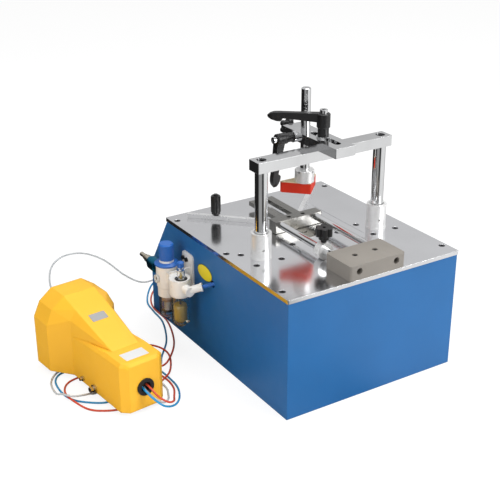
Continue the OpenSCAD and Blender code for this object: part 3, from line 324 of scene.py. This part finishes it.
# two socket screws on the 3 mm plate of the air unit's bracket, as rows of (radius, height) in millimetres
SCREW = [(4.6, 0), (4.6, 3.4), (4.1, 4), (2.2, 4), (2.0, 1.6), (0.01, 1.6)]
PLATE_FACE = SIDE - 0.003
SCREW_YS, SCREW_Z = (0.138, 0.152), 0.187
LEFTWARD = (-1, 0, 0)
for k, y in enumerate(SCREW_YS):
    screw = turned(f"bracket_screw_{k}", SCREW, (PLATE_FACE, y, SCREW_Z), axis=LEFTWARD, sides=32)
    keep(screw, "black_screw")

# the air unit's inner pieces, as rows of (radius, height) in millimetres
SEAL = [(8.7, -0.2), (12.6, -0.2), (12.8, 0.6), (12.2, 1.2), (9.4, 1.4), (8.7, 0.8)]
OIL = [(0.01, 0), (5.5, 0.2), (9.5, 3.5), (13.2, 8), (13.4, 10), (13.4, 41), (12.6, 41.6), (0.01, 41.4)]
INTAKE = [(0.01, 0), (6.5, 0), (7.2, 1), (7.2, 15), (6.5, 16), (2.2, 16.4), (2.2, 44), (0.01, 44)]
DRIP_TUBE = [(0.01, 0), (2.6, 0), (2.6, 9), (1.6, 10), (1.6, 13), (0.01, 13)]
BAFFLE = [(0.01, 0), (4, 0), (12, 2.2), (12.4, 3.2), (8, 4.4), (3, 5), (0.01, 5)]
SHROUD = [(12.2, 0), (13.2, 0.4), (13.2, 11.5), (12.2, 12)]

# the filter element's pleats: every second row is drawn in
PLEATS, PLEAT_PITCH, PLEAT_DEPTH, ELEMENT_RADIUS = 15, 2.1, 0.7, 8.6
ELEMENT = [(0.01, 0), (8, 0), (ELEMENT_RADIUS, 0.8)]
ELEMENT += [(ELEMENT_RADIUS - PLEAT_DEPTH * (k % 2), 2 + PLEAT_PITCH * k) for k in range(PLEATS)]
ELEMENT += [(ELEMENT_RADIUS, 34), (0.01, 34)]

# name, profile, Y and Z of the foot, whether the ends are closed, finish. In the lubricator: a seal
# under the sight dome, oil and its intake in the bowl, a drip tube in the dome. In the regulator's
# bowl: a filter element with its baffle and shroud.
AIR_X = -0.240
DOME_Y, OIL_BOWL_Y, FILTER_BOWL_Y = 0.093, 0.099, 0.153
INNER_PIECES = [
    ("dome_seal", SEAL, DOME_Y, 0.172, False, "black_rubber"),
    ("bowl_oil", OIL, OIL_BOWL_Y, 0.0715, True, "oil"),
    ("oil_intake", INTAKE, OIL_BOWL_Y, 0.080, True, "dark_fitting"),
    ("dome_tube", DRIP_TUBE, DOME_Y, 0.1725, True, "oil"),
    ("filter_element", ELEMENT, FILTER_BOWL_Y, 0.0785, True, "filter_white"),
    ("filter_baffle", BAFFLE, FILTER_BOWL_Y, 0.0735, True, "dark_fitting"),
    ("filter_shroud", SHROUD, FILTER_BOWL_Y, 0.1005, False, "filter_pink"),
]
for name, profile, y, z, caps, finish in INNER_PIECES:
    keep(turned(name, profile, (AIR_X, y, z), caps=caps), finish)

# ---------- finishes ----------

# The Mix node's colour sockets go by number: sockets of other kinds share their names.
MIX_LOW, MIX_HIGH, MIX_RESULT = 6, 7, 2


class Nodes:
    """Short way to add and join a material's nodes."""

    def __init__(self, name):
        self.material = bpy.data.materials.new(name)
        self.material.use_nodes = True
        self.tree = self.material.node_tree
        self.shader = self.tree.nodes["Principled BSDF"]
        self.output = self.tree.nodes["Material Output"]
        self.place = self.add("ShaderNodeTexCoord").outputs["Object"]

    def add(self, kind, **values):
        """New node of a kind, with its own settings."""
        node = self.tree.nodes.new(kind)
        for key, value in values.items():
            setattr(node, key, value)
        return node

    def join(self, source, target):
        """Link an output to an input."""
        self.tree.links.new(source, target)

    def set(self, **values):
        """Set uniform values on the shader's own sockets."""
        for key, value in values.items():
            self.shader.inputs[key.replace("_", " ")].default_value = value

    def noise(self, scale, detail=4, stretch=None):
        """Noise over the piece; stretch scales the place along each axis first."""
        node = self.add("ShaderNodeTexNoise")
        node.inputs["Scale"].default_value = scale
        node.inputs["Detail"].default_value = detail
        place = self.place
        if stretch:
            mapping = self.add("ShaderNodeMapping")
            mapping.inputs["Scale"].default_value = stretch
            self.join(place, mapping.inputs["Vector"])
            place = mapping.outputs["Vector"]
        self.join(place, node.inputs["Vector"])
        return node.outputs["Fac"]

    def between(self, value, low, high, start=0.0, end=1.0):
        """Number from low to high as the value goes from start to end."""
        node = self.add("ShaderNodeMapRange")
        for key, number in zip(("From Min", "From Max", "To Min", "To Max"), (start, end, low, high)):
            node.inputs[key].default_value = number
        self.join(value, node.inputs["Value"])
        return node.outputs["Result"]

    def shades(self, value, stops):
        """Colour ramp over the value; stops are (place, colour)."""
        ramp = self.add("ShaderNodeValToRGB")
        elements = ramp.color_ramp.elements
        while len(elements) < len(stops):
            elements.new(0.5)
        for element, (at, colour) in zip(elements, stops):
            element.position = at
            element.color = (*colour, 1)
        self.join(value, ramp.inputs["Fac"])
        return ramp.outputs["Color"]

    def drift(self, value, colour, spread, start):
        """The colour, darker by its spread up to the start and paler by as much from 1 - start on."""
        dark, pale = shade(colour, 1 - spread), shade(colour, 1 + spread)
        return self.shades(value, [(start, dark), (1 - start, pale)])

    def heights(self):
        """Z of the place."""
        parts = self.add("ShaderNodeSeparateXYZ")
        self.join(self.place, parts.inputs[0])
        return parts.outputs["Z"]

    def relief(self, height, distance, strength, edge):
        """Bump from a height, on edges that look rounded by a radius."""
        bevel = self.add("ShaderNodeBevel", samples=4)
        bevel.inputs["Radius"].default_value = edge
        bump = self.add("ShaderNodeBump")
        bump.inputs["Distance"].default_value = distance
        bump.inputs["Strength"].default_value = strength
        self.join(height, bump.inputs["Height"])
        self.join(bevel.outputs["Normal"], bump.inputs["Normal"])
        self.join(bump.outputs["Normal"], self.shader.inputs["Normal"])


def shade(colour, share):
    """Colour times a share, no part of it above 1."""
    return tuple(min(1.0, part * share) for part in colour)


def paint(name, colour, rough=0.35, grain=900, spread=0.06, bump=0.00006, edge=0.0008, shine=0.5):
    """Painted or moulded surface: slow colour drift, fine orange peel."""
    look = Nodes(name)
    tone = look.drift(look.noise(scale=6), colour, spread, start=0.35)
    gloss = look.between(look.noise(scale=40), rough - 0.05, rough + 0.06, start=0.3, end=0.7)
    look.join(tone, look.shader.inputs["Base Color"])
    look.join(gloss, look.shader.inputs["Roughness"])
    look.relief(look.noise(grain, detail=2), bump, strength=0.5, edge=edge)
    look.set(Specular_IOR_Level=shine)
    return look.material


def metal(name, colour, rough=0.2, stretch=(1, 1, 1), grain=400, spread=0.08, bump=0.00002, edge=0.0005,
          metallic=1.0):
    """Worked metal: cloudy tone, and streaks along one direction that vary its gloss."""
    look = Nodes(name)
    streak = look.noise(grain, detail=5, stretch=stretch)
    tone = look.drift(look.noise(scale=9), colour, spread, start=0.3)
    gloss = look.between(streak, rough * 0.7, rough * 1.4, start=0.3, end=0.7)
    look.join(tone, look.shader.inputs["Base Color"])
    look.join(gloss, look.shader.inputs["Roughness"])
    look.relief(streak, bump, strength=0.35, edge=edge)
    look.set(Metallic=metallic)
    return look.material


def clear(name, colour, rough=0.05, ior=1.5):
    """Clear moulded plastic with a slight haze."""
    look = Nodes(name)
    look.set(Base_Color=(*colour, 1), Transmission_Weight=1.0, IOR=ior)
    look.join(look.between(look.noise(scale=30), rough, rough + 0.08), look.shader.inputs["Roughness"])
    return look.material


RED_BELOW, PALE_ABOVE = 0.0012, 0.0006


def pad_rubber():
    """Red rubber whose top face is pale: the tone changes from 1.2 to 0.6 mm below it."""
    look = Nodes("pad rubber")
    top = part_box("pad")[1][2]
    red = look.shades(look.noise(scale=25), [(0.35, (0.55, 0.022, 0.005)), (0.65, (0.66, 0.03, 0.008))])
    pale = look.shades(look.noise(scale=60), [(0.3, (0.60, 0.50, 0.30)), (0.7, (0.72, 0.62, 0.42))])
    mix = look.add("ShaderNodeMix", data_type="RGBA")
    look.join(look.between(look.heights(), 0, 1, top - RED_BELOW, top - PALE_ABOVE), mix.inputs["Factor"])
    look.join(red, mix.inputs[MIX_LOW])
    look.join(pale, mix.inputs[MIX_HIGH])
    look.join(mix.outputs[MIX_RESULT], look.shader.inputs["Base Color"])
    look.join(look.between(look.noise(scale=90), 0.5, 0.7), look.shader.inputs["Roughness"])
    look.relief(look.noise(scale=1800, detail=2), distance=0.0001, strength=0.5, edge=0.001)
    look.set(Specular_IOR_Level=0.3)
    return look.material


FINISHES = {
    "cabinet_paint": paint(
        "cabinet paint", (0.02, 0.135, 0.36), rough=0.36, grain=1500, spread=0.05, bump=0.00008,
        edge=0.0015, shine=0.3,
    ),
    "plate_steel": metal(
        "polished plate", (0.78, 0.785, 0.80), rough=0.14, stretch=(1, 30, 1), grain=60,
        spread=0.03, bump=0.00001,
    ),
    "bright_steel": metal(
        "bright steel", (0.74, 0.745, 0.75), rough=0.09, stretch=(1, 1, 30), grain=100,
    ),
    "turned_steel": metal(
        "turned steel", (0.86, 0.86, 0.855), rough=0.34, stretch=(1, 1, 40), grain=120, spread=0.05,
        metallic=0.55,
    ),
    "ground_steel": metal(
        "ground steel", (0.9, 0.9, 0.9), rough=0.3, stretch=(1, 1, 1), grain=60, spread=0.03,
        bump=0.000002,
    ),
    "mill_steel": metal(
        "milled steel", (0.27, 0.265, 0.25), rough=0.3, stretch=(1, 40, 1), grain=90, spread=0.12,
        bump=0.000004,
    ),
    "cylinder_metal": metal("cylinder metal", (0.6, 0.61, 0.63), rough=0.35),
    "block_steel": paint(
        "blasted steel", (0.235, 0.215, 0.19), rough=0.55, grain=1500, spread=0.10, bump=0.00025,
        edge=0.0008,
    ),
    "black_screw": metal("black screw", (0.045, 0.045, 0.05), rough=0.35, grain=800),
    "insert_steel": metal(
        "insert steel", (0.26, 0.25, 0.23), rough=0.3, stretch=(40, 1, 1), grain=60, spread=0.1,
        bump=0.000004,
    ),
    "lever_black": paint(
        "lever plastic", (0.009, 0.009, 0.0095), rough=0.38, grain=2500, spread=0.1, bump=0.0002,
        edge=0.001,
    ),
    "pad_red": pad_rubber(),
    "dark_plate": paint("dark paint", (0.05, 0.05, 0.055), rough=0.5, grain=1500),
    "air_white": paint(
        "off-white moulding", (0.92, 0.89, 0.84), rough=0.32, grain=1200, spread=0.03, bump=0.00005,
        edge=0.001,
    ),
    "air_blue": paint(
        "blue moulding", (0.018, 0.13, 0.47), rough=0.35, grain=1200, spread=0.05, bump=0.00005,
        edge=0.0008,
    ),
    "bowl_clear": clear("clear bowl", (0.97, 0.98, 0.98)),
    "bowl_oil": clear("oil bowl", (0.98, 0.97, 0.9)),
    "teal": metal("teal valve", (0.01, 0.16, 0.28), rough=0.3),
    "brass": metal("nickelled brass", (0.6, 0.55, 0.45), rough=0.25),
    "dial_white": paint("dial", (0.75, 0.75, 0.72), rough=0.3),
    "pedal_yellow": paint(
        "yellow moulding", (0.96, 0.50, 0.03), rough=0.38, grain=700, spread=0.03, bump=0.00012,
        edge=0.004, shine=0.35,
    ),
    "black_rubber": paint("black rubber", (0.012, 0.012, 0.013), rough=0.55, grain=1500),
    "hose_blue": paint("blue hose", (0.02, 0.27, 0.55), rough=0.3),
    "hose_red": paint("red hose", (0.6, 0.07, 0.03), rough=0.3),
    "hose_clear": paint("clear hose", (0.55, 0.57, 0.58), rough=0.3),
    "disc_rim": paint("disc rim", (0.02, 0.03, 0.02), rough=0.4),
    "disc_yellow": paint("disc yellow", (0.95, 0.76, 0.02), rough=0.35),
    "tag_silver": paint("silver tag", (0.33, 0.33, 0.34), rough=0.35),
    "tag_white": paint("white tag", (0.68, 0.68, 0.67), rough=0.4),
    "dark_fitting": paint("dark fitting", (0.03, 0.025, 0.02), rough=0.4),
    "filter_white": paint("filter element", (0.7, 0.68, 0.66), rough=0.6),
    "filter_pink": paint("filter shroud", (0.72, 0.52, 0.42), rough=0.5),
    "oil": paint("oil", (0.60, 0.44, 0.14), rough=0.12),
}

# nodes whose finish is not the one their slot names
BY_NODE = {
    "air_bracket": "air_white",
    "carriage": "mill_steel",
    "fence_left": "ground_steel",
    "fence_right": "ground_steel",
}

slot_of = {part["node"]: part["material_slot"] for part in frame["record"]["subparts"]}
for node, piece in frame["nodes"].items():
    finish = FINISHES[BY_NODE.get(node, slot_of[node])]
    if not piece.material_slots:
        piece.data.materials.append(finish)
    for slot in piece.material_slots:
        slot.material = finish
for node, hose in hoses.items():
    hose.data.materials.append(FINISHES[node])
for name, finish in made.items():
    bpy.data.objects[name].data.materials.append(FINISHES[finish])

# ---------- floor, backdrop, light ----------

# Rows of (share of a turn, grey); the turn goes from -X through -Y and +X to +Y and back to -X.
# ROOM is what polished metal sees round the machine: a dark side of the room on the left, a narrow
# dark gap behind the camera, a white card at the front right. SKY lights the rest.
ROOM = [
    (0.0, 0.015), (0.02, 0.02), (0.06, 0.36), (0.165, 0.36), (0.195, 0.02), (0.24, 0.02), (0.285, 0.92),
    (0.47, 0.92), (0.53, 0.42), (0.60, 0.50), (0.66, 0.42), (0.70, 0.2), (0.74, 0.02), (1.0, 0.015),
]
SKY = [(0.0, 0.55), (0.15, 0.85), (0.35, 1.0), (0.6, 0.9), (0.8, 0.5), (1.0, 0.55)]
CEILING = (0.72, 0.72, 0.73)
SKY_STRENGTH = 0.55

FLOOR_HALF = 6
FLOOR_DROP = 0.0005
FLOOR_GLOW = 0.86
FLOOR_SHADOW = 0.22


def round_about(look, greys):
    """Grey in the direction of the place, seen from the middle."""
    angle = look.add("ShaderNodeTexGradient", gradient_type="RADIAL")
    look.join(look.place, angle.inputs["Vector"])
    return look.shades(angle.outputs["Fac"], [(at, (grey,) * 3) for at, grey in greys])


def paler_above(look, low):
    """The low colour, going over to the pale ceiling above the horizon."""
    mix = look.add("ShaderNodeMix", data_type="RGBA")
    look.join(look.between(look.heights(), 0, 1, start=0.12, end=0.5), mix.inputs["Factor"])
    look.join(low, mix.inputs[MIX_LOW])
    mix.inputs[MIX_HIGH].default_value = (*CEILING, 1)
    return mix.outputs[MIX_RESULT]


def by_ray(look, plain, seen, mirrored):
    """Join three shaders to the output by the kind of ray.

    The camera's rays and those through clear pieces get the seen one, reflected rays the mirrored
    one, and all others the plain one.
    """
    rays = look.add("ShaderNodeLightPath")
    last = plain
    for ray, shader in (("Is Camera Ray", seen), ("Is Transmission Ray", seen), ("Is Glossy Ray", mirrored)):
        mix = look.add("ShaderNodeMixShader")
        look.join(rays.outputs[ray], mix.inputs[0])
        look.join(last, mix.inputs[1])
        look.join(shader.outputs[0], mix.inputs[2])
        last = mix.outputs[0]
    look.join(last, look.output.inputs["Surface"])


def studio_floor():
    """White floor that still takes shadows: a glow plus a grey matt surface."""
    corners = FLOOR_HALF * np.array([(-1, -1, 0), (1, -1, 0), (1, 1, 0), (-1, 1, 0)])
    floor = mesh_piece("floor", corners, [(0, 1, 2, 3)], smooth=False)
    floor.location.z = -FLOOR_DROP
    look = Nodes("studio floor")
    look.set(Base_Color=(0.8, 0.8, 0.8, 1), Roughness=0.8, Specular_IOR_Level=0.1)
    glow = look.add("ShaderNodeEmission")
    glow.inputs["Strength"].default_value = FLOOR_GLOW
    matt = look.add("ShaderNodeBsdfDiffuse")
    matt.inputs["Color"].default_value = (FLOOR_SHADOW, FLOOR_SHADOW, FLOOR_SHADOW, 1)
    seen = look.add("ShaderNodeAddShader")
    look.join(glow.outputs[0], seen.inputs[0])
    look.join(matt.outputs[0], seen.inputs[1])
    mirrored = look.add("ShaderNodeEmission")
    look.join(round_about(look, ROOM), mirrored.inputs["Color"])
    by_ray(look, look.shader.outputs[0], seen, mirrored)
    floor.data.materials.append(look.material)


class World(Nodes):
    """The same short way for the world's nodes."""

    def __init__(self, name):
        world = bpy.data.worlds.new(name)
        bpy.context.scene.world = world
        world.use_nodes = True
        self.tree = world.node_tree
        self.shader = self.tree.nodes["Background"]
        self.output = self.tree.nodes["World Output"]
        self.place = self.add("ShaderNodeTexCoord").outputs["Generated"]


def studio_world():
    """Plain background for the camera, the room for reflections, soft light for the rest."""
    look = World("studio")
    look.shader.inputs["Strength"].default_value = 1.0
    light = look.add("ShaderNodeBackground")
    light.inputs["Strength"].default_value = SKY_STRENGTH
    look.join(round_about(look, SKY), light.inputs["Color"])
    mirrored = look.add("ShaderNodeBackground")
    look.join(paler_above(look, round_about(look, ROOM)), mirrored.inputs["Color"])
    by_ray(look, light.outputs[0], look.shader, mirrored)


def lamp(name, at, aim, size, power):
    """Rectangular soft lamp that faces a point."""
    data = bpy.data.lights.new(name, "AREA")
    data.shape = "RECTANGLE"
    data.size, data.size_y = size
    data.energy = power
    piece = bpy.data.objects.new(name, data)
    bpy.context.scene.collection.objects.link(piece)
    piece.location = at
    piece.rotation_euler = (Vector(aim) - Vector(at)).to_track_quat("-Z", "Y").to_euler()
    return piece


studio_floor()
studio_world()
lamp("top light", at=(0.3, 0.0, 2.6), aim=(0, 0, 0.1), size=(1.8, 1.8), power=42)
lamp("front light", at=(1.3, -2.2, 1.5), aim=(0, 0, 0.2), size=(1.4, 1.4), power=46)
left_light = lamp("left light", at=(-2.0, -0.6, 0.9), aim=(-0.3, 0.1, 0.1), size=(1.2, 1.2), power=14)
left_light.visible_glossy = False

bpy.context.scene.view_settings.view_transform = "Standard"
